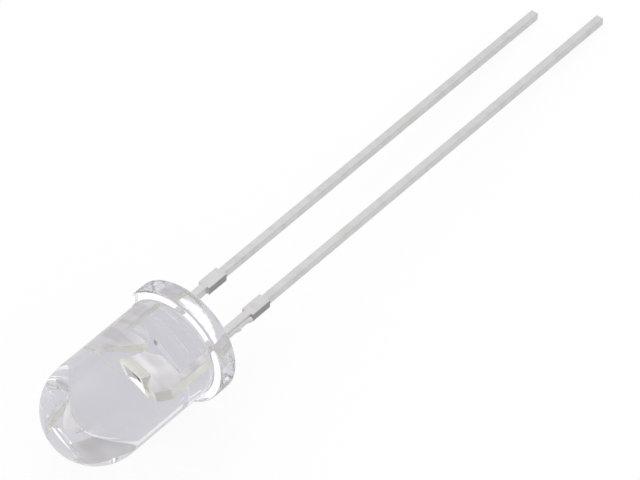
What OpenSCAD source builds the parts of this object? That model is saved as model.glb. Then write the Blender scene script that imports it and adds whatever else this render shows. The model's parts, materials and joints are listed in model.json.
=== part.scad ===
// Through hole LED with a five millimetre round lens and two square leads,
// lying as it comes to rest: on the rim of its flange and on both lead tips.
//
// Every sub-part is drawn upright first, in the LED's own axes: Z runs up the
// lens axis towards the dome, X runs from the cathode lead to the anode lead,
// Y is square to the lead frame strip, and Z = 0 is the back of the flange.
// lying() then lays the whole LED down, dome towards -X and leads towards +X,
// with the origin still at the centre of the flange's back face.

/* [Lens] */
// Diameter of the lens body
body_d = 5; // [4.6:0.1:6]
// Height of the lens from the flange's back face to the top of the dome
lens_h = 8.6; // [7.6:0.1:11]
// How far the flange stands out past the body
flange_lip = 0.45; // [0.35:0.05:0.7]
// Thickness of the flange
flange_t = 1; // [0.8:0.05:1.4]
// Depth of the cathode flat, measured in from the flange's rim
flat_depth = 0.55; // [0.2:0.05:0.6]
// Angle by which the lens was cast turned against the lead frame
lens_turn = 1.3; // [-4:0.1:4]
// Radius of the hollow between the flange and the body
root_r = 0.12; // [0.05:0.01:0.2]
// Radius on the flange's front edge
rim_r = 0.12; // [0.05:0.01:0.2]

/* [Leads] */
// Distance between the two lead centres
lead_pitch = 2.54; // [2.4:0.02:3]
// Width of a lead across the strip it was stamped from
lead_w = 0.4; // [0.34:0.01:0.5]
// Thickness of the strip
strip_t = 0.42; // [0.34:0.01:0.5]
// Radius rolled onto the long edges of a lead
edge_r = 0.05; // [0.02:0.01:0.1]
// Length of the cathode lead from the flange's back face
cathode_len = 27.4; // [20:0.2:33]
// How much longer the anode lead is
anode_extra = 1.8; // [0.5:0.1:3]
// Distance from the flange's back face to the stubs of the cut tie bar
stub_gap = 2.83; // [2:0.01:4]
// Length of a tie bar stub along the lead
stub_len = 1.22; // [0.6:0.01:1.6]
// How far a tie bar stub stands out on each side of the lead
stub_lip = 0.11; // [0.05:0.01:0.3]

/* [Post and anvil inside the lens] */
// Height at which the leads widen into the post and the anvil
shoulder_z = 2.4; // [1.6:0.05:2.8]
// Distance from the lens axis to the anvil's left corner
anvil_left = 0.3; // [0.2:0.01:0.34]
// Height of that corner above the shoulder
anvil_rise = 0.45; // [0.3:0.01:0.6]
// Width of the slanted gap between the post and the anvil
frame_gap = 0.2; // [0.12:0.01:0.24]
// Height of the post's upright toe, next to that gap
toe_h = 0.25; // [0.15:0.01:0.5]
// Height of the post's top, where the bond wire ends
post_z = 4.25; // [4:0.05:4.8]
// Length of the post's narrow neck below its top
post_neck = 0.3; // [0.2:0.01:0.6]
// Height of the anvil's right shoulder
anvil_z = 4.05; // [3.8:0.05:4.2]
// Size of the bevel on the anvil's right shoulder, along X
bevel_x = 0.44; // [0.2:0.01:0.6]
// Size of the bevel on the anvil's right shoulder, along Z
bevel_z = 0.75; // [0.2:0.01:0.9]

/* [Reflector cup] */
// Height of the cup's rim above the flange's back face
cup_z = 4.15; // [3.9:0.05:4.6]
// Width of the cup's opening
cup_w = 0.72; // [0.66:0.01:0.8]
// Width of the cup's floor
floor_w = 0.42; // [0.38:0.01:0.5]
// Depth of the cup
cup_depth = 0.36; // [0.25:0.01:0.45]
// Thickness of the cup's rim
cup_wall = 0.12; // [0.08:0.01:0.2]
// Height of the head that the cup is pressed into
head_h = 0.62; // [0.55:0.01:0.9]
// Width of the head where it meets the anvil
neck_w = 0.88; // [0.7:0.01:0.9]

/* [Die and bond wire] */
// Width of the die
die_w = 0.28; // [0.2:0.01:0.3]
// Height of the die
die_h = 0.2; // [0.1:0.01:0.28]
// Thickness of the silver adhesive under the die
attach_t = 0.03; // [0.02:0.01:0.05]
// How far the adhesive shows past the die
attach_lip = 0.03; // [0.01:0.01:0.04]
// Diameter of the bond wire
wire_d = 0.03; // [0.02:0.005:0.05]
// Diameter of the ball on the die and of the stitch on the post
bond_d = 0.1; // [0.08:0.01:0.14]
// Height of the ball
ball_h = 0.05; // [0.05:0.01:0.08]
// Rise of the wire's arch above the straight line between its ends
arch_rise = 0.4; // [0.25:0.01:0.6]

/* [Epoxy creep on the anode lead] */
// Thickness of the film of epoxy beside the lead
creep_t = 0.26; // [0.1:0.01:0.3]
// How far the film stands out at the flange
creep_root = 0.22; // [0.15:0.01:0.4]
// How far it stands out where it is thinnest
creep_thin = 0.1; // [0.04:0.01:0.12]
// How far its ragged tips stand out
creep_tip = 0.22; // [0.15:0.01:0.3]

/* [Hidden] */
$fn = 96;
// how far a cut runs past the surface it opens
past = 1;
// how far a shape is sunk into the one it is joined to
sink = 0.1;

body_r = body_d / 2;
flange_r = body_r + flange_lip;
dome_z = lens_h - body_r;
flat_x = flange_r - flat_depth;
lead_x = lead_pitch / 2;
outer_x = lead_x + lead_w / 2;
anode_len = cathode_len + anode_extra;

// the cup's floor and what is stacked on it
floor_z = cup_z - cup_depth;
head_w = cup_w + 2 * cup_wall;
pad_w = die_w + 2 * attach_lip;
die_z = floor_z + attach_t;
ball_z = die_z + die_h;

// the wire's arch is one arc between the middle of the ball and that of the
// stitch, which is as thick as the wire
arch_start = [0, ball_z + ball_h / 2];
arch_end = [-lead_x, post_z + wire_d / 2];
arch_span = norm(arch_end - arch_start);
arch_lean = atan2(arch_end.y - arch_start.y, arch_end.x - arch_start.x) - 90;
arch_half = 2 * atan(2 * arch_rise / arch_span);
arch_r = arch_span / 2 / sin(arch_half);
arch_mid = (arch_start + arch_end) / 2
    - arch_r * cos(arch_half) * [cos(arch_lean), sin(arch_lean)];

// Rest pose. The floor touches the flange's back rim and the lower outer edge
// of both tips. Its normal, in the LED's axes, runs along (slip, 1, fall).
slip_ratio = anode_extra / lead_pitch;
tip_y = strip_t / 2 - edge_r;
tip_arm = cathode_len + slip_ratio * (outer_x - edge_r);
rim_arm = flange_r - edge_r;
quad_a = tip_arm * tip_arm - pow(rim_arm * slip_ratio, 2);
quad_b = 2 * tip_arm * tip_y;
quad_c = tip_y * tip_y - rim_arm * rim_arm;
fall = (sqrt(quad_b * quad_b - 4 * quad_a * quad_c) - quad_b) / (2 * quad_a);
slip = fall * slip_ratio;
rest_roll = atan(slip);
rest_tilt = atan(fall / sqrt(1 + slip * slip));

module lying() {
    rotate([0, rest_tilt, 0]) rotate([90, 0, -90]) rotate([0, 0, rest_roll]) children();
}

// a flat outline in X and Z, made as thick as asked along Y
module stamped(thickness) {
    rotate([90, 0, 0]) translate([0, 0, -thickness / 2]) linear_extrude(thickness) children();
}

// ---- lens ----

// half of the lens's section, turned about Z to make it
module lens_section() {
    difference() {
        square([flange_r, flange_t]);
        translate([flange_r - rim_r, flange_t - rim_r]) square(rim_r + past);
    }
    translate([flange_r - rim_r, flange_t - rim_r]) circle(rim_r);
    square([body_r, dome_z]);
    difference() {
        translate([body_r - sink, flange_t - sink]) square(root_r + sink);
        translate([body_r + root_r, flange_t + root_r]) circle(root_r);
    }
    intersection() {
        translate([0, dome_z]) circle(body_r);
        translate([0, dome_z - sink]) square([body_r, body_r + sink]);
    }
}

// epoxy that crept down the outer side of the anode lead while the lens set
module creep() {
    stamped(creep_t) polygon([
        [outer_x - sink, sink],
        [outer_x + creep_root, sink],
        [outer_x + creep_root, 0],
        [outer_x + creep_thin, -0.18 * stub_gap],
        [outer_x + creep_thin, -0.58 * stub_gap],
        [outer_x + creep_tip, -0.72 * stub_gap],
        [outer_x + creep_thin, -0.76 * stub_gap],
        [outer_x + creep_tip, -0.86 * stub_gap],
        [outer_x + creep_thin, -0.92 * stub_gap],
        [outer_x + stub_lip, -stub_gap],
        [outer_x - sink, -stub_gap],
    ]);
}

module lens_body() {
    color("lavender", 0.4) lying() difference() {
        union() {
            rotate([0, 0, lens_turn]) difference() {
                rotate_extrude() lens_section();
                translate([-flat_x - body_d, -body_d, -past])
                    cube([body_d, 2 * body_d, past + flange_t + root_r]);
            }
            creep();
        }
        cathode_metal();
        anode_metal();
        adhesive_pad();
        die_block();
        wire_metal();
    }
}

// ---- leads, post and anvil ----

// a bar up from Z = 0 with its four long edges rolled round
module rolled_bar(length) {
    flat_w = lead_w - 2 * edge_r;
    flat_t = strip_t - 2 * edge_r;
    translate([-lead_w / 2, -flat_t / 2, 0]) cube([lead_w, flat_t, length]);
    translate([-flat_w / 2, -strip_t / 2, 0]) cube([flat_w, strip_t, length]);
    for (x = [-1, 1], y = [-1, 1])
        translate([x * flat_w / 2, y * flat_t / 2, 0]) cylinder(r = edge_r, h = length);
}

// one lead up to its shoulder, with the stubs of the tie bar that was cut away
module lead(length) {
    translate([0, 0, -length]) rolled_bar(length + shoulder_z + sink);
    translate([-lead_w / 2 - stub_lip, -strip_t / 2, -stub_gap - stub_len])
        cube([lead_w + 2 * stub_lip, strip_t, stub_len]);
}

module cathode_metal() {
    toe_x = -anvil_left - frame_gap;
    inner_x = -lead_x + lead_w / 2;
    translate([-lead_x, 0, 0]) lead(cathode_len);
    stamped(strip_t) polygon([
        [-outer_x, shoulder_z],
        [toe_x, shoulder_z],
        [toe_x, shoulder_z + toe_h],
        [inner_x, post_z - post_neck],
        [inner_x, post_z],
        [-outer_x, post_z],
    ]);
}

// an outline that narrows from the cup's rim down to the given depth
module tapered(top_w, low_w, depth) {
    polygon([
        [-top_w / 2, cup_z],
        [top_w / 2, cup_z],
        [low_w / 2, cup_z - depth],
        [-low_w / 2, cup_z - depth],
    ]);
}

// a four-sided block with that outline seen from the front and another from the side
module tapered_block(top_w, front_w, side_w, depth) {
    intersection() {
        stamped(2 * top_w) tapered(top_w, front_w, depth);
        rotate([0, 0, 90]) stamped(2 * top_w) tapered(top_w, side_w, depth);
    }
}

module anode_metal() {
    translate([lead_x, 0, 0]) lead(anode_len);
    difference() {
        union() {
            stamped(strip_t) polygon([
                [outer_x, shoulder_z],
                [outer_x, anvil_z - bevel_z],
                [outer_x - bevel_x, anvil_z],
                [0, anvil_z],
                [-neck_w / 2, cup_z - head_h],
                [-anvil_left, shoulder_z + anvil_rise],
                [-anvil_left + anvil_rise, shoulder_z],
            ]);
            tapered_block(head_w, neck_w, strip_t, head_h);
        }
        tapered_block(cup_w, floor_w, floor_w, cup_depth);
        translate([-cup_w / 2, -cup_w / 2, cup_z]) cube([cup_w, cup_w, past]);
    }
}

module cathode_frame() {
    color("gainsboro") lying() cathode_metal();
}

module anode_frame() {
    color("gainsboro") lying() anode_metal();
}

// ---- die, adhesive and bond wire ----

module adhesive_pad() {
    translate([-pad_w / 2, -pad_w / 2, floor_z]) cube([pad_w, pad_w, attach_t]);
}

module die_block() {
    translate([-die_w / 2, -die_w / 2, die_z]) cube([die_w, die_w, die_h]);
}

// the ball on the die, the arch, and the stitch on the post
module wire_metal() {
    translate([0, 0, ball_z]) cylinder(d = bond_d, h = ball_h);
    translate([-lead_x, 0, post_z]) cylinder(d = bond_d, h = wire_d);
    translate([arch_mid.x, 0, arch_mid.y]) rotate([90, 0, 0])
        rotate([0, 0, arch_lean - arch_half]) rotate_extrude(angle = 2 * arch_half)
            translate([arch_r, 0]) circle(d = wire_d);
}

module die_attach() {
    color("silver") lying() adhesive_pad();
}

module led_die() {
    color("indianred") lying() die_block();
}

module bond_wire() {
    color("gold") lying() wire_metal();
}

lens_body();
cathode_frame();
anode_frame();
led_die();
die_attach();
bond_wire();
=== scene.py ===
"""A five millimetre through hole LED with a water-clear lens, lying on a pale studio floor.

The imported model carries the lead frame, the die, its adhesive and the bond wire. This script
gives each of them its finish, and builds the epoxy lens and the film of epoxy that crept down
the anode lead as smooth surfaces in place of the plain lens solid.
"""

from __future__ import annotations

import json
import logging
import math
from collections.abc import Mapping, Sequence
from dataclasses import dataclass
from enum import Enum

import bmesh
import bpy
import numpy as np
from mathutils import Matrix, Vector

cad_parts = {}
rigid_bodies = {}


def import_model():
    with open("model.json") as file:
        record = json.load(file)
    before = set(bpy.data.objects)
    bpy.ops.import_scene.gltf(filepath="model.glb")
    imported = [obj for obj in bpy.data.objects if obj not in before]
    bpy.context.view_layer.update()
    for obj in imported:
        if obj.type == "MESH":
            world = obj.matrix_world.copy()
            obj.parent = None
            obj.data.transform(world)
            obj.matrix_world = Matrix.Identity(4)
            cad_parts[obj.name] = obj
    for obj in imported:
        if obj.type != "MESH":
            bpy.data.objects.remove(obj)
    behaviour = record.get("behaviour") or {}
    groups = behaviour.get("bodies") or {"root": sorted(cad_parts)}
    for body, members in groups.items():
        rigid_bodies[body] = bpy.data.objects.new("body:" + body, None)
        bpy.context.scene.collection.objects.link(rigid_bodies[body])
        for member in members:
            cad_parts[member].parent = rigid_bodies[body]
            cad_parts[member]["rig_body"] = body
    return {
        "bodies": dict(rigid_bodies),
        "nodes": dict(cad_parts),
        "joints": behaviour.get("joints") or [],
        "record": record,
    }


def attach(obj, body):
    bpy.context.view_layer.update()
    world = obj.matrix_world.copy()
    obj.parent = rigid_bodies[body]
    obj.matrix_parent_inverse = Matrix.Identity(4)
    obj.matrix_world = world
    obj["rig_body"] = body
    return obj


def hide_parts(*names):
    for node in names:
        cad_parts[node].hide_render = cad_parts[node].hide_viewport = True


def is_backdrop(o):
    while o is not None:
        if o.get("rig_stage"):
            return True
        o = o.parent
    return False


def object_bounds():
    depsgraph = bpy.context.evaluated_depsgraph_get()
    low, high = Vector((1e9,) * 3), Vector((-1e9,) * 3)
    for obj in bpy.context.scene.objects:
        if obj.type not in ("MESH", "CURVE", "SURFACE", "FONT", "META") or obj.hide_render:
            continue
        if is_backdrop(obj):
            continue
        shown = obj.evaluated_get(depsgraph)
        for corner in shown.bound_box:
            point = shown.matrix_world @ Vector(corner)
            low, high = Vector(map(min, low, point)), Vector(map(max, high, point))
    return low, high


log = logging.getLogger("led")

MM = 0.001
# points nearer than this are one
WELD = 1e-7
# turns of a ray inside the lens before it is given up
BOUNCES = 24
WHITE = (1.0, 1.0, 1.0)
Triple = tuple[float, float, float]
Colour = Triple
# a soft step: where it is half way, and the width over which it rises
Step = tuple[float, float]


class Ray(Enum):
    """The kinds of ray that a Light Path node tells apart."""

    CAMERA = "Is Camera Ray"
    GLOSSY = "Is Glossy Ray"
    TRANSMISSION = "Is Transmission Ray"


class Polarity(Enum):
    """The two halves of the lead frame, and the sign of each lead's place along the LED's x."""

    CATHODE = -1
    ANODE = 1


# ---- node building ----


class Value:
    """A number on a node's socket, on which Python's operators add Math nodes."""

    def __init__(self, board: Board, socket: bpy.types.NodeSocket) -> None:
        """Keep the socket and the board that it is on."""
        self.board = board
        self.socket = socket

    def maths(self, operation: str, *others: Value | float, first: bool = True) -> Value:
        """Add one Math node.

        Args:
            operation: the Math node's operation.
            others: its other inputs.
            first: whether this value is the node's first input or its second.

        Returns:
            The node's result.
        """
        values = [self, *others] if first else [*others, self]
        node = self.board.add("ShaderNodeMath", {"operation": operation}, dict(enumerate(values)))
        return Value(self.board, node.outputs[0])

    def __add__(self, other: Value | float) -> Value:
        """Return the sum."""
        return self.maths("ADD", other)

    def __sub__(self, other: Value | float) -> Value:
        """Return the difference."""
        return self.maths("SUBTRACT", other)

    def __rsub__(self, other: float) -> Value:
        """Return a number less this value."""
        return self.maths("SUBTRACT", other, first=False)

    def __mul__(self, other: Value | float) -> Value:
        """Return the product."""
        return self.maths("MULTIPLY", other)

    __radd__ = __add__
    __rmul__ = __mul__

    def size(self) -> Value:
        """Return the value without its sign."""
        return self.maths("ABSOLUTE")

    def above(self, edge: float, width: float) -> Value:
        """Return a soft step from 0 to 1.

        Args:
            edge: where the step is half way.
            width: the width over which it rises.

        Returns:
            0 well below the edge and 1 well above it.
        """
        ends = {1: edge - width / 2, 2: edge + width / 2, "Value": self}
        node = self.board.add("ShaderNodeMapRange", {"interpolation_type": "SMOOTHSTEP"}, ends)
        return Value(self.board, node.outputs["Result"])


class Board:
    """A material's or the world's node tree, with one method that adds any node."""

    # places of the Mix node's colour sockets, which share their names with its other sockets
    MIX_FIRST, MIX_SECOND, MIXED = 6, 7, 2

    def __init__(self, tree: bpy.types.NodeTree) -> None:
        """Empty the tree.

        Args:
            tree: the node tree to build in.
        """
        self.tree = tree
        tree.nodes.clear()

    def add(
        self,
        kind: str,
        settings: Mapping[str, object] | None = None,
        inputs: Mapping[str | int, object] | None = None,
    ) -> bpy.types.Node:
        """Add a node.

        Args:
            kind: the node's type.
            settings: its properties, which are set first.
            inputs: values or links for its sockets, by name or number.

        Returns:
            The new node.
        """
        node = self.tree.nodes.new(kind)
        for name, setting in (settings or {}).items():
            setattr(node, name, setting)
        for name, given in (inputs or {}).items():
            if isinstance(given, Value):
                given = given.socket
            if isinstance(given, bpy.types.NodeSocket):
                self.tree.links.new(given, node.inputs[name])
            else:
                node.inputs[name].default_value = given
        return node

    def path(self, *rays: Ray) -> Value:
        """Return 1 for a ray of any of these kinds and 0 for the rest."""
        node = self.add("ShaderNodeLightPath")
        found, *rest = (Value(self, node.outputs[ray.value]) for ray in rays)
        for other in rest:
            found = found.maths("MAXIMUM", other)
        return found

    def noise(self, place: bpy.types.NodeSocket, scale: float, detail: float = 3.0) -> Value:
        """Return a noise over a place, from 0 to 1."""
        inputs = {"Vector": place, "Scale": scale, "Detail": detail}
        return Value(self, self.add("ShaderNodeTexNoise", None, inputs).outputs[0])

    def stretched(self, place: bpy.types.NodeSocket, scale: Triple) -> bpy.types.NodeSocket:
        """Return a place scaled along each axis."""
        node = self.add("ShaderNodeVectorMath", {"operation": "MULTIPLY"}, {0: place, 1: scale})
        return node.outputs[0]

    def along(self, way: bpy.types.NodeSocket, axis: Triple) -> Value:
        """Return how far a vector reaches along an axis, which is their dot product."""
        node = self.add("ShaderNodeVectorMath", {"operation": "DOT_PRODUCT"}, {0: way, 1: axis})
        return Value(self, node.outputs["Value"])

    def split(self, place: bpy.types.NodeSocket) -> list[Value]:
        """Return a place's three coordinates."""
        node = self.add("ShaderNodeSeparateXYZ", None, {0: place})
        return [Value(self, socket) for socket in node.outputs]

    def mix(
        self,
        share: Value,
        first: bpy.types.NodeSocket | Colour,
        second: bpy.types.NodeSocket | Colour,
    ) -> bpy.types.NodeSocket:
        """Mix two colours.

        Args:
            share: how much of the second shows.
            first: the first colour, as a link or three numbers.
            second: the second colour.

        Returns:
            The mixed colour.
        """
        ends = [(*end, 1.0) if isinstance(end, tuple) else end for end in (first, second)]
        inputs = {"Factor": share, self.MIX_FIRST: ends[0], self.MIX_SECOND: ends[1]}
        return self.add("ShaderNodeMix", {"data_type": "RGBA"}, inputs).outputs[self.MIXED]

    def bump(self, height: Value, strength: float, distance: float) -> bpy.types.NodeSocket:
        """Return the surface normal tilted by a height, of which 1 is the distance in metres."""
        inputs = {"Height": height, "Strength": strength, "Distance": distance}
        return self.add("ShaderNodeBump", None, inputs).outputs[0]

    def surface(self, shader: bpy.types.Node) -> None:
        """Make a shader the material's surface."""
        self.add("ShaderNodeOutputMaterial", None, {"Surface": shader.outputs[0]})


def new_material(name: str) -> tuple[bpy.types.Material, Board]:
    """Return a new material and the board of its emptied node tree."""
    material = bpy.data.materials.new(name)
    material.use_nodes = True
    return material, Board(material.node_tree)


# ---- the LED's own axes ----


@dataclass(frozen=True)
class LedAxes:
    """The LED's axes: x from the cathode to the anode lead, z from the flange to the dome.

    Attributes:
        origin: the centre of the flange's back face.
        turn: the three axes in the row frame, as columns.
    """

    origin: np.ndarray
    turn: np.ndarray

    @classmethod
    def from_record(cls, record: Mapping) -> LedAxes:
        """Read the axes from the record's mounts.

        Args:
            record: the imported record.

        Returns:
            The axes: z against the seat's axis, and x along the line from the cathode tip to
            the anode tip, made square to z.
        """
        mounts = {mount["name"]: mount for mount in record["mounts"]}
        up = -np.array(mounts["seat"]["axis"])
        across = np.subtract(mounts["anode_lead"]["pos_m"], mounts["cathode_lead"]["pos_m"])
        across = across - (across @ up) * up
        across /= np.linalg.norm(across)
        origin = np.array(mounts["seat"]["pos_m"])
        return cls(origin, np.column_stack([across, np.cross(up, across), up]))

    def to_frame(self, points: np.ndarray) -> np.ndarray:
        """Return points given in the LED's axes as points of the row frame."""
        return points @ self.turn.T + self.origin

    def from_frame(self, points: np.ndarray) -> np.ndarray:
        """Return points of the row frame in the LED's axes."""
        return (points - self.origin) @ self.turn

    def depth_axis(self) -> Triple:
        """Return the axis across the strip that the lead frame is stamped from."""
        return tuple(self.turn[:, 1].tolist())

    def place(self, board: Board) -> bpy.types.NodeSocket:
        """Add the nodes that give a surface's place in the LED's axes, in millimetres."""
        coordinates = board.add("ShaderNodeTexCoord").outputs["Object"]
        turned = Matrix(self.turn.T.tolist()).to_euler()
        scale = (1 / MM, 1 / MM, 1 / MM)
        inputs = {"Vector": coordinates, "Rotation": turned, "Scale": scale}
        return board.add("ShaderNodeMapping", None, inputs).outputs[0]


# ---- finishes ----


@dataclass(frozen=True)
class ClearEpoxy:
    """Water-clear cast epoxy: polished by its mould, but ragged at the flange.

    Attributes:
        name: the material's name.
        tint: the colour of what is seen through it.
        ior: its refractive index.
        roughness: how much its polish spreads what it shows.
        clarity: 1 where it is clear, less where it is milky.
        wave: height of the waves that the mould left, in metres.
        wave_scale: waves to a millimetre.
        ragged: height of the flange's ragged grain, in waves.
        ragged_scale: grains to a millimetre.
        ragged_step: the step at which the grain ends, by millimetres above the flange's back.
    """

    name: str = "clear_epoxy"
    tint: Colour = (0.985, 0.985, 1.0)
    ior: float = 1.53
    roughness: float = 0.01
    clarity: float = 1.0
    wave: float = 0.0006 * MM
    wave_scale: float = 0.9
    ragged: float = 4.0
    ragged_scale: float = 5.0
    ragged_step: Step = (0.9, 0.3)

    def make(self, axes: LedAxes) -> bpy.types.Material:
        """Build the material.

        Args:
            axes: the LED's axes.

        Returns:
            The material.
        """
        material, board = new_material(self.name)
        place = axes.place(board)
        waves = board.noise(place, self.wave_scale, 1.0)
        flange = 1 - board.split(place)[2].above(*self.ragged_step)
        grain = board.noise(place, self.ragged_scale, 2.0) * flange
        glass = board.add(
            "ShaderNodeBsdfPrincipled",
            None,
            {
                "Base Color": (*self.tint, 1.0),
                "Roughness": self.roughness,
                "IOR": self.ior,
                "Transmission Weight": self.clarity,
                "Normal": board.bump(waves + grain * self.ragged, 1.0, self.wave),
            },
        )
        board.surface(glass)
        return material


@dataclass(frozen=True)
class ReflectorCup:
    """Where the reflector cup's polished inside is, in millimetres in the LED's axes.

    Attributes:
        floor: height just under the cup's floor.
        rim: height of its rim.
        half: half of its width at the rim, to the middle of its wall.
        taper: how far its wall leans in over each millimetre down.
        edge: the width over which the polish ends.
    """

    floor: float = 3.75
    rim: float = 4.15
    half: float = 0.42
    taper: float = 0.42
    edge: float = 0.02

    def share(self, across: Value, deep: Value, along: Value) -> Value:
        """Return 1 on the cup's inside and 0 elsewhere.

        Args:
            across: place along the LED's x.
            deep: place along its y.
            along: place along its z.

        Returns:
            The soft steps of the height above the floor, and of the distance from the LED's
            axis each way, with the lean of the wall added.
        """
        lean = (self.rim - along) * self.taper
        inside = along.above(self.floor, self.edge)
        for way in (across, deep):
            inside = inside * (1 - (way.size() + lean).above(self.half, self.edge))
        return inside


@dataclass(frozen=True)
class TinPlate:
    """Dull tin over stamped steel, brighter where the epoxy has kept it clean.

    Places and lengths are in millimetres in the LED's axes, but for the height of the marks.
    In the lens, its stamped edges and the head that holds the cup have a painted highlight.

    Attributes:
        name: the material's name.
        lead_x: place of the lead's middle along x.
        outside: colour of the bare leads.
        stain: colour of their darker mottling.
        mottles: mottles to a millimetre.
        stain_step: the step in the mottling at which the stain shows.
        sheared: colour of the raw steel where the tie bar was cut away.
        sheared_step: the step at the cut, by the distance from the lead's middle.
        inside: colour of the metal cast into the lens.
        inside_step: the step at the flange's back, by height.
        smeared: colour of its darker smears.
        smear_scale: smears to a millimetre along each axis.
        smear_step: the step in their noise at which they show.
        stamped: painted highlight colour of its stamped edges and of the head that holds the cup.
        stamped_step: the step from an edge to the strip's face, by the normal's cosine.
        polished: colour of the cup's inside.
        cup: where the cup's inside is.
        head_step: the step at the foot of the head, by height.
        head_half: half of the head's width.
        roughness: roughness of the leads where they are smoothest.
        mottled: roughness that the mottling, the cut or a stamped edge adds.
        cleaner: roughness that the metal in the lens has less.
        buffed: roughness that the cup has less still.
        mark: height of the marks left by drawing the steel, in metres.
        drawn_scale: drawn marks to a millimetre along each axis.
        drawn_share: how much of a mark's height they give, where the mottling gives the rest.
        dish_scale: shallow hollows to a millimetre in the metal in the lens.
        dish_step: the step above the flange's back at which they start, by height.
        dished: their depth, in marks.
    """

    name: str
    lead_x: float
    outside: Colour = (0.8, 0.8, 0.8)
    stain: Colour = (0.75, 0.735, 0.72)
    mottles: float = 2.2
    stain_step: Step = (0.56, 0.35)
    sheared: Colour = (0.43, 0.43, 0.43)
    sheared_step: Step = (0.3, 0.01)
    inside: Colour = (0.96, 0.95, 0.93)
    inside_step: Step = (-0.02, 0.04)
    smeared: Colour = (0.85, 0.84, 0.83)
    smear_scale: Triple = (0.7, 0.7, 1.6)
    smear_step: Step = (0.5, 0.15)
    stamped: Colour = (0.99, 0.99, 0.89)
    stamped_step: Step = (0.6, 0.2)
    polished: Colour = (0.98, 0.98, 0.97)
    cup: ReflectorCup = ReflectorCup()
    head_step: Step = (3.52, 0.02)
    head_half: float = 0.5
    roughness: float = 0.34
    mottled: float = 0.16
    cleaner: float = 0.1
    buffed: float = 0.12
    mark: float = 0.01 * MM
    drawn_scale: Triple = (9.0, 9.0, 0.5)
    drawn_share: float = 0.85
    dish_scale: float = 1.1
    dish_step: Step = (0.8, 0.6)
    dished: float = 12.0

    def make(self, axes: LedAxes) -> bpy.types.Material:
        """Build the material.

        Args:
            axes: the LED's axes.

        Returns:
            The material.
        """
        material, board = new_material(self.name)
        place = axes.place(board)
        across, deep, along = board.split(place)
        normal = board.add("ShaderNodeTexCoord").outputs["Normal"]
        edge = 1 - board.along(normal, axes.depth_axis()).size().above(*self.stamped_step)
        cup = self.cup.share(across, deep, along)
        mottle = board.noise(place, self.mottles, 5.0)
        cast_in = along.above(*self.inside_step)
        cut = (across - self.lead_x).size().above(*self.sheared_step) * (1 - cast_in)
        bare = board.mix(mottle.above(*self.stain_step), self.outside, self.stain)
        kept = self.clean_and_highlighted(board, place, edge, cup)
        roughness = self.roughness + self.mottled * (mottle + cut + edge * cast_in)
        metal = board.add(
            "ShaderNodeBsdfPrincipled",
            None,
            {
                "Base Color": board.mix(cut, board.mix(cast_in, bare, kept), self.sheared),
                "Metallic": 1.0,
                "Roughness": roughness - self.cleaner * cast_in - self.buffed * cup,
                "Normal": board.bump(self.relief(board, place, mottle), 0.6, self.mark),
            },
        )
        board.surface(metal)
        return material

    def clean_and_highlighted(
        self, board: Board, place: bpy.types.NodeSocket, edge: Value, cup: Value
    ) -> bpy.types.NodeSocket:
        """Colour the metal in the lens, with its painted highlight.

        Args:
            board: the material's board.
            place: the place in the LED's axes.
            edge: 1 on the stamped edges.
            cup: 1 on the cup's inside.

        Returns:
            The faces' colour with its smears, under the painted highlight of the edges and the
            head, under that of the cup.
        """
        across, _, along = board.split(place)
        smear = board.noise(board.stretched(place, self.smear_scale), 1.0, 1.0)
        beside = across.size().above(self.head_half, self.head_step[1])
        head = along.above(*self.head_step) * (1 - beside)
        face = board.mix(smear.above(*self.smear_step), self.inside, self.smeared)
        # painted highlight: the stamped edges, found by their normals, and the head are lighter and
        # creamier
        face_with_highlight = board.mix(edge.maths("MAXIMUM", head), face, self.stamped)
        return board.mix(cup, face_with_highlight, self.polished)

    def relief(self, board: Board, place: bpy.types.NodeSocket, mottle: Value) -> Value:
        """Work out the height of the metal's marks.

        Args:
            board: the material's board.
            place: the place in the LED's axes.
            mottle: the mottling's noise.

        Returns:
            The drawn marks and a little of the mottling, with the hollows added from the
            flange up into the lens.
        """
        drawn = board.noise(board.stretched(place, self.drawn_scale), 1.0)
        dish = board.noise(place, self.dish_scale, 0.0)
        in_lens = board.split(place)[2].above(*self.dish_step)
        marks = drawn * self.drawn_share + mottle * (1 - self.drawn_share)
        return marks + dish * in_lens * self.dished


@dataclass(frozen=True)
class PlainSolid:
    """A small solid sealed in the lens, with a grain in its colour and its surface.

    Attributes:
        name: the material's name.
        light: its lighter colour.
        dark: its darker colour.
        metallic: 1 for a metal.
        roughness: its roughness where it is smoothest.
        grain: grains to a millimetre.
        depth: height of the grain, in metres.
        dark_step: the step in the grain at which the darker colour shows.
        rougher: roughness that the grain adds.
    """

    name: str
    light: Colour
    dark: Colour
    metallic: float
    roughness: float
    grain: float
    depth: float
    dark_step: Step = (0.5, 0.3)
    rougher: float = 0.2

    def make(self, axes: LedAxes) -> bpy.types.Material:
        """Build the material.

        Args:
            axes: the LED's axes.

        Returns:
            The material.
        """
        material, board = new_material(self.name)
        grain = board.noise(axes.place(board), self.grain, 4.0)
        solid = board.add(
            "ShaderNodeBsdfPrincipled",
            None,
            {
                "Base Color": board.mix(grain.above(*self.dark_step), self.light, self.dark),
                "Metallic": self.metallic,
                "Roughness": self.roughness + self.rougher * grain,
                "Normal": board.bump(grain, 0.5, self.depth),
            },
        )
        board.surface(solid)
        return material


# ---- surfaces ----


def arc(centre: Sequence[float], radius: float, start: float, end: float, steps: int) -> np.ndarray:
    """Return points on an arc in a plane.

    Args:
        centre: the arc's centre.
        radius: its radius.
        start: the first point's angle, in degrees.
        end: the last point's angle.
        steps: how many spans the arc has.

    Returns:
        The points, each the centre plus the radius times the cosine and sine of its angle.
    """
    turn = np.radians(np.linspace(start, end, steps + 1))
    return np.array(centre) + radius * np.column_stack([np.cos(turn), np.sin(turn)])


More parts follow.
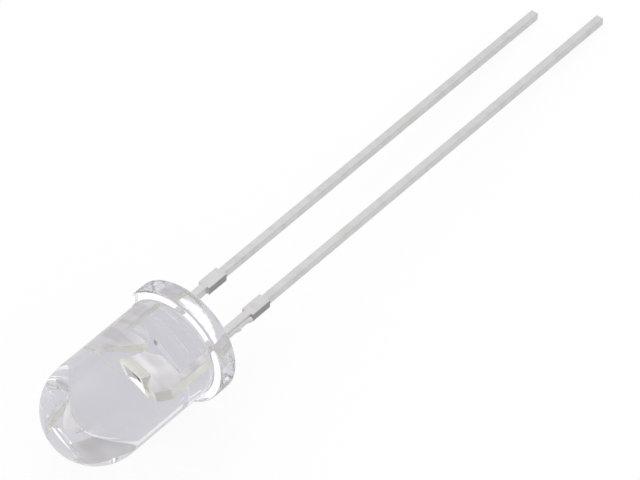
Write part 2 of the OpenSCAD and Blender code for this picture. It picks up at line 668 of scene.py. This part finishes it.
def ring_quads(rows: int, columns: int) -> np.ndarray:
    """Return the faces of a grid of rings.

    Args:
        rows: how many rings there are.
        columns: how many points each ring has.

    Returns:
        One face for each point of every ring but the last: it joins that point and the next on
        its ring to the same two on the ring above, and the last point's next is the first.
    """
    here = np.arange((rows - 1) * columns).reshape(rows - 1, columns)
    after = np.roll(here, -1, axis=1)
    return np.stack([here, after, after + columns, here + columns], axis=-1).reshape(-1, 4)


def closed_rings(name: str, rings: np.ndarray, sharp_above: float) -> bpy.types.Object:
    """Make a closed object from rings of points whose first and last rings have no width.

    Args:
        name: the object's name.
        rings: the points, as rows by columns by three coordinates, in metres.
        sharp_above: the angle between faces, in degrees, past which an edge stays crisp.

    Returns:
        The new object, at the origin, with its place in its mesh.
    """
    rows, columns, _ = rings.shape
    mesh = bpy.data.meshes.new(name)
    mesh.from_pydata(rings.reshape(-1, 3).tolist(), [], ring_quads(rows, columns).tolist())
    shell = bmesh.new()
    shell.from_mesh(mesh)
    bmesh.ops.remove_doubles(shell, verts=shell.verts, dist=WELD)
    bmesh.ops.recalc_face_normals(shell, faces=shell.faces)
    shell.to_mesh(mesh)
    shell.free()
    mesh.shade_smooth()
    mesh.set_sharp_from_angle(angle=math.radians(sharp_above))
    piece = bpy.data.objects.new(name, mesh)
    bpy.context.scene.collection.objects.link(piece)
    return piece


# ---- the lens and what crept out of it ----


@dataclass
class EpoxyLens:
    """The cast lens: a flange with its flat, a round body and a domed end.

    Lengths are in metres. Angles are about the lens axis, in degrees.

    Attributes:
        axes: the LED's axes.
        body_r: radius of the body and of the dome.
        flange_r: radius of the flange.
        flange_t: thickness of the flange.
        height: from the flange's back to the top of the dome.
        flat_x: distance from the axis to the flat.
        flat_turn: direction of the flat's middle.
        root_r: radius of the hollow between the flange and the body.
        rim_r: radius on the flange's front edge.
        back_r: radius on the flange's back edge.
        corner_r: length over which the flat's ends are rounded.
        hollow: depth of the meniscus that the resin set with in the flange's back.
        inset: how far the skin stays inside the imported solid.
        columns: points round each ring.
        back_rows: rings on the flange's back.
        edge_rows: rings on each of the flange's front edge and the hollow.
        body_rows: rings on the body.
        dome_rows: rings on the dome.
        finish: the epoxy.
    """

    axes: LedAxes
    body_r: float
    flange_r: float
    flange_t: float
    height: float
    flat_x: float
    flat_turn: float
    root_r: float = 0.07 * MM
    rim_r: float = 0.12 * MM
    back_r: float = 0.06 * MM
    corner_r: float = 0.32 * MM
    hollow: float = 0.3 * MM
    inset: float = 0.006 * MM
    columns: int = 480
    back_rows: int = 90
    edge_rows: int = 8
    body_rows: int = 12
    dome_rows: int = 72
    finish: ClearEpoxy = ClearEpoxy()

    @classmethod
    def measured(cls, axes: LedAxes, frame: Mapping) -> EpoxyLens:
        """Take the lens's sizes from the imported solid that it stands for.

        Args:
            axes: the LED's axes.

        Returns:
            The lens. Its flat lies across the widest gap between the points on the back rim.
        """
        mesh = frame["nodes"]["lens_body"].data
        places = np.empty(len(mesh.vertices) * 3, np.float32)
        mesh.vertices.foreach_get("co", places)
        across, depth, along = axes.from_frame(places.reshape(-1, 3).astype(float)).T
        radius = np.hypot(across, depth)
        outer = radius.max()
        on_rim = (radius > outer - WELD) & (np.abs(along) < WELD)
        angles = np.unique(np.degrees(np.arctan2(depth[on_rim], across[on_rim])).round(2))
        gaps = np.diff(np.append(angles, angles[0] + 360))
        widest = gaps.argmax()
        mounts = {mount["name"]: mount for mount in frame["record"]["mounts"]}
        shoulder = axes.from_frame(np.array(mounts["shoulder"]["pos_m"]))
        return cls(
            axes=axes,
            body_r=mounts["body"]["dims"]["r_mm"] * MM - cls.inset,
            flange_r=float(outer) - cls.inset,
            flange_t=float(shoulder[2]),
            height=float(along.max()) - cls.inset,
            flat_x=float(outer * math.cos(math.radians(gaps[widest] / 2))) - cls.inset,
            flat_turn=float(angles[widest] + gaps[widest] / 2),
        )

    def profile(self) -> tuple[np.ndarray, int]:
        """Work out half of the lens's section.

        Returns:
            Its points, each a radius and a height, from the middle of the back round the
            flange, the hollow and the body to the top of the dome; and how many of them the
            flat cuts, which are those up to the top of the hollow. The meniscus is a parabola:
            its depth times one less the square of the radius over that of the back.
        """
        step_z = self.flange_t + self.root_r
        dome_z = self.height - self.body_r
        rim = self.flange_r - self.rim_r
        across = np.linspace(0, self.flange_r - self.back_r, self.back_rows)
        cut = np.concatenate(
            [
                np.column_stack([across, self.hollow * (1 - (across / across[-1]) ** 2)]),
                arc((self.flange_r - self.back_r, self.back_r), self.back_r, -90, 0, 4),
                arc((rim, self.flange_t - self.rim_r), self.rim_r, 0, 90, self.edge_rows),
                arc((self.body_r + self.root_r, step_z), self.root_r, 270, 180, self.edge_rows),
            ]
        )
        whole = np.concatenate(
            [
                np.linspace((self.body_r, step_z), (self.body_r, dome_z), self.body_rows),
                arc((0, dome_z), self.body_r, 0, 90, self.dome_rows),
            ]
        )
        return np.concatenate([cut, whole]), len(cut)

    def ring_angles(self) -> np.ndarray:
        """Return the columns' angles from the flat's middle, in radians, with two at its ends."""
        half = math.acos(self.flat_x / self.flange_r)
        on_flat = round(self.columns * half / math.pi)
        flat = np.linspace(-half, half, on_flat, endpoint=False)
        rest = np.linspace(half, 2 * math.pi - half, self.columns - on_flat, endpoint=False)
        return np.concatenate([flat, rest])

    def outline(self, angle: np.ndarray) -> np.ndarray:
        """Work out the flange's outline.

        Args:
            angle: angles from the flat's middle, in radians.

        Returns:
            The outline's radius at each angle: the smaller of the flange's radius and that of
            the flat, which is flat_x over the angle's cosine. Where the two are nearer than
            corner_r, a quarter of the square of what is missing, over corner_r, is taken off.
        """
        flat = self.flat_x / np.maximum(np.cos(angle), self.flat_x / self.flange_r / 2)
        near = np.clip(self.corner_r - np.abs(flat - self.flange_r), 0, None)
        return np.minimum(flat, self.flange_r) - near**2 / self.corner_r / 4

    def surface(self) -> np.ndarray:
        """Work out the lens's whole skin.

        Returns:
            Rings of points in the row frame: each profile point is turned about the axis, and
            where the flat cuts it, its radius is at most the outline's. On a rounded edge it
            is less than that by what the profile there falls short of the flange's radius, and
            on the front edge by that times the share of the flange's lip that the flat leaves.
        """
        section, cut_rows = self.profile()
        angle = self.ring_angles()
        radius = np.repeat(section[:, :1], len(angle), axis=1)
        outline = self.outline(angle)
        low = section[:cut_rows, 1:] < self.flange_t / 2
        lip = np.clip((outline - self.body_r) / (self.flange_r - self.body_r), 0, 1)
        most = np.where(low, self.back_r, self.rim_r)
        rounding = np.minimum(self.flange_r - section[:cut_rows, :1], most)
        inner = outline - rounding * np.where(low, 1.0, lip)
        radius[:cut_rows] = np.minimum(radius[:cut_rows], inner)
        turned = angle + math.radians(self.flat_turn)
        height = np.repeat(section[:, 1:], len(angle), axis=1)
        rings = np.stack([radius * np.cos(turned), radius * np.sin(turned), height], axis=-1)
        return self.axes.to_frame(rings)

    def build(self) -> list[bpy.types.Object]:
        """Build and dress the lens."""
        lens = closed_rings("epoxy_lens", self.surface(), sharp_above=25)
        lens.data.materials.append(self.finish.make(self.axes))
        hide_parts("lens_body")
        return [lens]


@dataclass
class CreptFilm:
    """The film of epoxy that crept from the flange down the outer side of the anode lead.

    Lengths are in metres, and widths of bells are shares of the film's length.

    Attributes:
        axes: the LED's axes.
        lead_x: distance from the lens axis to the middle of the lead.
        lead_w: width of the lead.
        start: how far inside the flange's back the film starts.
        length: from the flange to the tie bar's stub.
        overlap: how far the film reaches over the lead from its outer side.
        thickness: the film's width across the lead's side, before the next two change it.
        slim: share of it away from the flange.
        flare: what the flange adds to that share.
        flare_share: width of the bell in which it does so.
        root: how far it stands out at the flange.
        thin: how far it stands out where it is thinnest.
        root_share: width of the bell in which it falls from the root to the thin part.
        tips: its ragged tips: each one's share of the length, and how far it stands out.
        tip_share: width of each tip's bell.
        ripple: height of the ripples between them, as a share of how far it stands out.
        blunt: power of the superellipse that closes its ends.
        rows: rings along it.
        columns: points round each ring.
        finish: the milky epoxy.
    """

    axes: LedAxes
    lead_x: float
    lead_w: float = 0.4 * MM
    start: float = 0.18 * MM
    length: float = 2.83 * MM
    overlap: float = 0.06 * MM
    thickness: float = 0.34 * MM
    slim: float = 0.8
    flare: float = 0.3
    flare_share: float = 0.12
    root: float = 0.26 * MM
    thin: float = 0.1 * MM
    root_share: float = 0.1
    tips: tuple[tuple[float, float], ...] = ((0.15, 0.05 * MM), (0.69, 0.08 * MM), (0.95, 0.1 * MM))
    tip_share: float = 0.045
    ripple: float = 0.05
    blunt: int = 40
    rows: int = 120
    columns: int = 48
    finish: ClearEpoxy = ClearEpoxy(
        name="crept_epoxy", tint=(0.97, 0.97, 0.93), roughness=0.3, clarity=0.1
    )

    def stand(self, share: np.ndarray) -> np.ndarray:
        """Work out how far the film stands out from the lead.

        Args:
            share: places along it, from 0 at its start to 1 at the stub.

        Returns:
            The thin part's height, with a bell added at the root and one at each tip, times
            one and the ripples. A bell is e to the power of minus the square of the distance
            from its middle over its width.
        """
        height = self.thin + (self.root - self.thin) * np.exp(-((share / self.root_share) ** 2))
        for place, tip in self.tips:
            height = height + tip * np.exp(-(((share - place) / self.tip_share) ** 2))
        return height * (1 + self.ripple * np.sin(61 * share) * np.sin(23 * share))

    def surface(self) -> np.ndarray:
        """Work out the film's skin.

        Returns:
            Rings of points in the row frame, from the flange to the stub. Each ring is an
            ellipse beside the lead, which reaches from the overlap to where the film stands.
            It is a little thicker at the root, and closes at both ends as a superellipse.
        """
        share = np.linspace(0, 1, self.rows)
        stand = self.stand(share)
        ends = np.sqrt(np.clip(1 - np.abs(2 * share - 1) ** self.blunt, 0, 1))
        turn = np.linspace(0, 2 * math.pi, self.columns, endpoint=False)
        middle = self.lead_x + self.lead_w / 2 + (stand - self.overlap) / 2
        reach = (stand + self.overlap) / 2 * ends
        flare = self.flare * np.exp(-((share / self.flare_share) ** 2))
        side = self.thickness / 2 * (self.slim + flare) * ends
        along = self.start - share * (self.start + self.length)
        rings = np.stack(
            [
                middle[:, None] + reach[:, None] * np.cos(turn),
                side[:, None] * np.sin(turn),
                np.repeat(along[:, None], self.columns, axis=1),
            ],
            axis=-1,
        )
        return self.axes.to_frame(rings)

    def build(self) -> list[bpy.types.Object]:
        """Build and dress the film."""
        film = closed_rings("crept_epoxy", self.surface(), sharp_above=60)
        film.data.materials.append(self.finish.make(self.axes))
        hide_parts("lens_body")
        return [film]


# ---- what the lens holds ----


@dataclass
class LeadFrame:
    """The two stamped halves of the lead frame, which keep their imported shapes.

    Attributes:
        axes: the LED's axes.
        lead_x: distance from the lens axis to the middle of a lead, in metres.
        nodes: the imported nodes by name.
    """

    axes: LedAxes
    lead_x: float
    nodes: Mapping[str, bpy.types.Object]

    def build(self) -> list[bpy.types.Object]:
        """Dress both halves."""
        dressed = []
        for polarity in Polarity:
            name = f"{polarity.name.lower()}_frame"
            finish = TinPlate(name=f"tin_{name}", lead_x=polarity.value * self.lead_x / MM)
            dress(self.nodes[name], finish.make(self.axes))
            dressed.append(self.nodes[name])
        return dressed


@dataclass
class LightSource:
    """The die in its cup, the adhesive under it and the bond wire, which keep their shapes.

    Attributes:
        axes: the LED's axes.
        nodes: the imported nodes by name.
        crystal: finish of the die.
        adhesive: finish of the silver-filled adhesive.
        gold: finish of the wire.
    """

    axes: LedAxes
    nodes: Mapping[str, bpy.types.Object]
    crystal: PlainSolid = PlainSolid(
        "red_crystal", (0.42, 0.09, 0.07), (0.2, 0.03, 0.03), 0.0, 0.2, 24.0, 0.002 * MM
    )
    adhesive: PlainSolid = PlainSolid(
        "silver_adhesive", (0.7, 0.7, 0.68), (0.5, 0.5, 0.48), 0.0, 0.5, 60.0, 0.004 * MM
    )
    gold: PlainSolid = PlainSolid(
        "gold_wire", (1.0, 0.93, 0.78), (0.98, 0.88, 0.7), 1.0, 0.3, 30.0, 0.001 * MM
    )

    def build(self) -> list[bpy.types.Object]:
        """Dress the three pieces."""
        dress(self.nodes["led_die"], self.crystal.make(self.axes))
        dress(self.nodes["die_attach"], self.adhesive.make(self.axes))
        dress(self.nodes["bond_wire"], self.gold.make(self.axes))
        return [self.nodes[name] for name in ("led_die", "die_attach", "bond_wire")]


def dress(node: bpy.types.Object, material: bpy.types.Material) -> None:
    """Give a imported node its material.

    Args:
        node: the node's object.
        material: its new material.
    """
    node.data.materials.clear()
    node.data.materials.append(material)


# ---- the studio ----


@dataclass
class Viewpoint:
    """The camera.

    Attributes:
        azimuth: 0 looks along +Y and 90 along -X, in degrees.
        elevation: height above the horizon, in degrees.
        roll: how far the camera is turned about its line of sight, in degrees.
        distance: from the target to the lens, in metres.
        target: the point that it looks at.
        focal: focal length, in millimetres.
        sensor: width of the sensor, in millimetres.
    """

    azimuth: float = -53.309
    elevation: float = 51.326
    roll: float = 3.556
    distance: float = 0.24029
    target: Triple = (0.008175, -0.001065, 0.0)
    focal: float = 298.34
    sensor: float = 36.0

    def build(self) -> None:
        """Place the camera and make it the scene's."""
        around, above = math.radians(self.azimuth), math.radians(self.elevation)
        level = math.cos(above)
        back = Vector((math.sin(around) * level, -math.cos(around) * level, math.sin(above)))
        lens = bpy.data.cameras.new("camera")
        lens.lens, lens.sensor_width = self.focal, self.sensor
        lens.clip_start, lens.clip_end = 0.01, 50.0
        camera = bpy.data.objects.new("camera", lens)
        camera.location = Vector(self.target) + back * self.distance
        upright = (-back).to_track_quat("-Z", "Y").to_matrix()
        turned = upright @ Matrix.Rotation(math.radians(self.roll), 3, "Z")
        camera.rotation_euler = turned.to_euler()
        bpy.context.scene.collection.objects.link(camera)
        bpy.context.scene.camera = camera


@dataclass(frozen=True)
class Oval:
    """A soft-edged patch on the floor, for its painted light and painted shade.

    Attributes:
        middle: its middle, along X and Y.
        reach: half of its length and width.
    """

    middle: tuple[float, float]
    reach: tuple[float, float]

    def share(self, across: Value, along: Value) -> Value:
        """Return 1 inside and 0 outside.

        Args:
            across: place along X.
            along: place along Y.

        Returns:
            The soft step, half way where the two distances over their reaches, each squared,
            add up to 1.
        """
        wide = (across - self.middle[0]) * (1 / self.reach[0])
        deep = (along - self.middle[1]) * (1 / self.reach[1])
        return 1 - (wide * wide + deep * deep).above(1.0, 0.3)


@dataclass(frozen=True)
class Glow:
    """A soft-edged light high or low in the room.

    Attributes:
        toward: the direction to its middle.
        edge: the step at its edge, by the cosine of the angle to its middle.
        radiance: how bright it is, where 1 shows as white.
    """

    toward: Triple
    edge: Step
    radiance: float

    @property
    def colour(self) -> Colour:
        """Return its brightness as a colour."""
        return (self.radiance,) * 3

    def share(self, board: Board, way: bpy.types.NodeSocket) -> Value:
        """Return 1 toward the light and 0 away from it."""
        return board.along(way, self.toward).above(*self.edge)


@dataclass
class Studio:
    """A pale floor in a room of plain soft light.

    The camera sees both as white, and bare metal mirrors both as a pale grey. Through the lens
    the room is dimmer, and the floor shows painted shade where the lens would shade it and
    painted light round it, so that its form shows.

    Attributes:
        floor_z: height of the floor, in metres.
        reach: half of the floor's side, in metres.
        glow: strength of the floor's own glow.
        seen_shade: share of the floor that is lit by the room instead, and shows the shadow.
        paper: share of the room's light that the floor gives back.
        grains: grains of the paper to a metre.
        mottled: how far the grain changes that share.
        mirrored: colour of the floor in bare metal.
        plain: colour of the room in bare metal, and what lights the object.
        room: colour of the room through the lens.
        dimmed: colour of the floor through the lens outside the painted light, as painted shade.
        bright: how bright the painted light on the floor is through the lens.
        open: the patch of painted light on the floor round the flange.
        shade: the painted shade of the lens, cut out of that patch.
        pool: a painted pool of light on the floor by the dome.
        far_from: how far off the floor has painted light again, as the sum of x and y.
        far_share: how much of the painted light shows there, and in the sweep beyond it.
        sweep: the pale sweep of the far wall, low in the room.
        sweep_step: the step at its top, by the height's sine.
        overhead: the wide soft light.
        spot: the small light that only shows through the lens.
    """

    floor_z: float
    reach: float = 6.0
    glow: float = 1.09
    seen_shade: float = 0.2
    paper: float = 0.8
    grains: float = 900.0
    mottled: float = 0.02
    mirrored: Colour = (0.76, 0.76, 0.765)
    plain: Colour = (0.7, 0.7, 0.705)
    room: Colour = (0.65, 0.64, 0.68)
    dimmed: Colour = (0.595, 0.59, 0.63)
    bright: float = 1.2
    open: Oval = Oval((2.5 * MM, 0.0), (6.7 * MM, 5.3 * MM))
    shade: Oval = Oval((-1.8 * MM, 2.05 * MM), (3.5 * MM, 4.05 * MM))
    pool: Oval = Oval((-7.3 * MM, 1.8 * MM), (2.0 * MM, 2.1 * MM))
    far_from: float = 90 * MM
    far_share: float = 0.6
    sweep: Glow = Glow((0.7, 0.7, 0.0), (0.8, 0.2), 1.2)
    sweep_step: Step = (0.15, 0.1)
    overhead: Glow = Glow((0.12, 0.5, 0.857), (0.88, 0.2), 1.2)
    spot: Glow = Glow((-0.19, 0.53, 0.83), (0.96, 0.03), 1.9)

    def floor_material(self) -> bpy.types.Material:
        """Build the floor's finish.

        Returns:
            White paper, most of whose light is its own glow for the camera, and for what the
            LED mirrors and shows through its lens; through the lens that glow has painted light and
            painted shade, in patches fixed to the floor. The rest is lit by the room, and shows the
            object's shadow.
        """
        material, board = new_material("white_paper")
        place = board.add("ShaderNodeTexCoord").outputs["Object"]
        across, along, _ = board.split(place)
        # painted light and painted shade on the floor, seen only through the lens
        painted_lit_floor = self.open.share(across, along) * (1 - self.shade.share(across, along))
        painted_far_light = (across + along).above(self.far_from, self.far_from) * self.far_share
        painted_pool = self.pool.share(across, along)
        lit = painted_lit_floor.maths("MAXIMUM", painted_pool).maths("MAXIMUM", painted_far_light)
        through = board.mix(lit, self.dimmed, (self.bright,) * 3)
        colour = board.mix(board.path(Ray.TRANSMISSION), self.mirrored, through)
        colour = board.mix(board.path(Ray.CAMERA), colour, WHITE)
        glow = board.path(Ray.CAMERA, Ray.GLOSSY, Ray.TRANSMISSION) * (1 - self.seen_shade)
        grain = board.noise(place, self.grains)
        paper = (self.paper * (1 - glow)) * (1 - self.mottled / 2 + self.mottled * grain)
        grey = board.add("ShaderNodeCombineXYZ", None, {0: paper, 1: paper, 2: paper}).outputs[0]
        matt = board.add("ShaderNodeBsdfDiffuse", None, {"Color": grey})
        inputs = {"Color": colour, "Strength": glow * self.glow}
        light = board.add("ShaderNodeEmission", None, inputs)
        both = board.add("ShaderNodeAddShader", None, {0: matt.outputs[0], 1: light.outputs[0]})
        board.surface(both)
        return material

    def lay_floor(self) -> None:
        """Lay the floor."""
        reach = self.reach
        corners = [(-reach, -reach), (reach, -reach), (reach, reach), (-reach, reach)]
        mesh = bpy.data.meshes.new("studio_floor")
        mesh.from_pydata([(*corner, self.floor_z) for corner in corners], [], [(0, 1, 2, 3)])
        mesh.materials.append(self.floor_material())
        floor = bpy.data.objects.new("studio_floor", mesh)
        bpy.context.scene.collection.objects.link(floor)
        floor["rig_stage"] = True

    def light_room(self) -> None:
        """Light the room by its world alone."""
        world = bpy.data.worlds.new("white_room")
        world.use_nodes = True
        bpy.context.scene.world = world
        board = Board(world.node_tree)
        through_lens = board.path(Ray.TRANSMISSION)
        way = board.add("ShaderNodeTexCoord").outputs["Generated"]
        low = 1 - board.split(way)[2].above(*self.sweep_step)
        sweep = self.sweep.share(board, way) * low * self.far_share
        spot = self.spot.share(board, way) * through_lens
        colour = board.mix(through_lens, self.plain, self.room)
        colour = board.mix(sweep, colour, self.sweep.colour)
        colour = board.mix(self.overhead.share(board, way), colour, self.overhead.colour)
        colour = board.mix(spot, colour, self.spot.colour)
        colour = board.mix(board.path(Ray.CAMERA), colour, WHITE)
        room = board.add("ShaderNodeBackground", None, {"Color": colour})
        board.add("ShaderNodeOutputWorld", None, {"Surface": room.outputs[0]})

    def build(self) -> None:
        """Lay the floor and light the room."""
        self.lay_floor()
        self.light_room()


def main() -> None:
    """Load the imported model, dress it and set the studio."""
    logging.basicConfig(level=logging.INFO, format="%(name)s: %(message)s")
    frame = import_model()
    packed = [list(corner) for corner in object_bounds()]
    axes = LedAxes.from_record(frame["record"])
    mounts = {mount["name"]: mount for mount in frame["record"]["mounts"]}
    lead_x = float(axes.from_frame(np.array(mounts["anode_lead"]["pos_m"]))[0])
    parts = (
        EpoxyLens.measured(axes, frame),
        CreptFilm(axes, lead_x),
        LeadFrame(axes, lead_x, frame["nodes"]),
        LightSource(axes, frame["nodes"]),
    )
    for part in parts:
        for piece in part.build():
            if "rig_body" not in piece:
                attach(piece, "root")
            log.info("%s: %d faces", piece.name, len(piece.data.polygons))
    Studio(floor_z=packed[0][2]).build()
    Viewpoint().build()
    bpy.context.scene.view_settings.view_transform = "Standard"
    cycles = bpy.context.scene.cycles
    cycles.max_bounces = cycles.transmission_bounces = cycles.glossy_bounces = BOUNCES


if __name__ == "__main__":
    main()
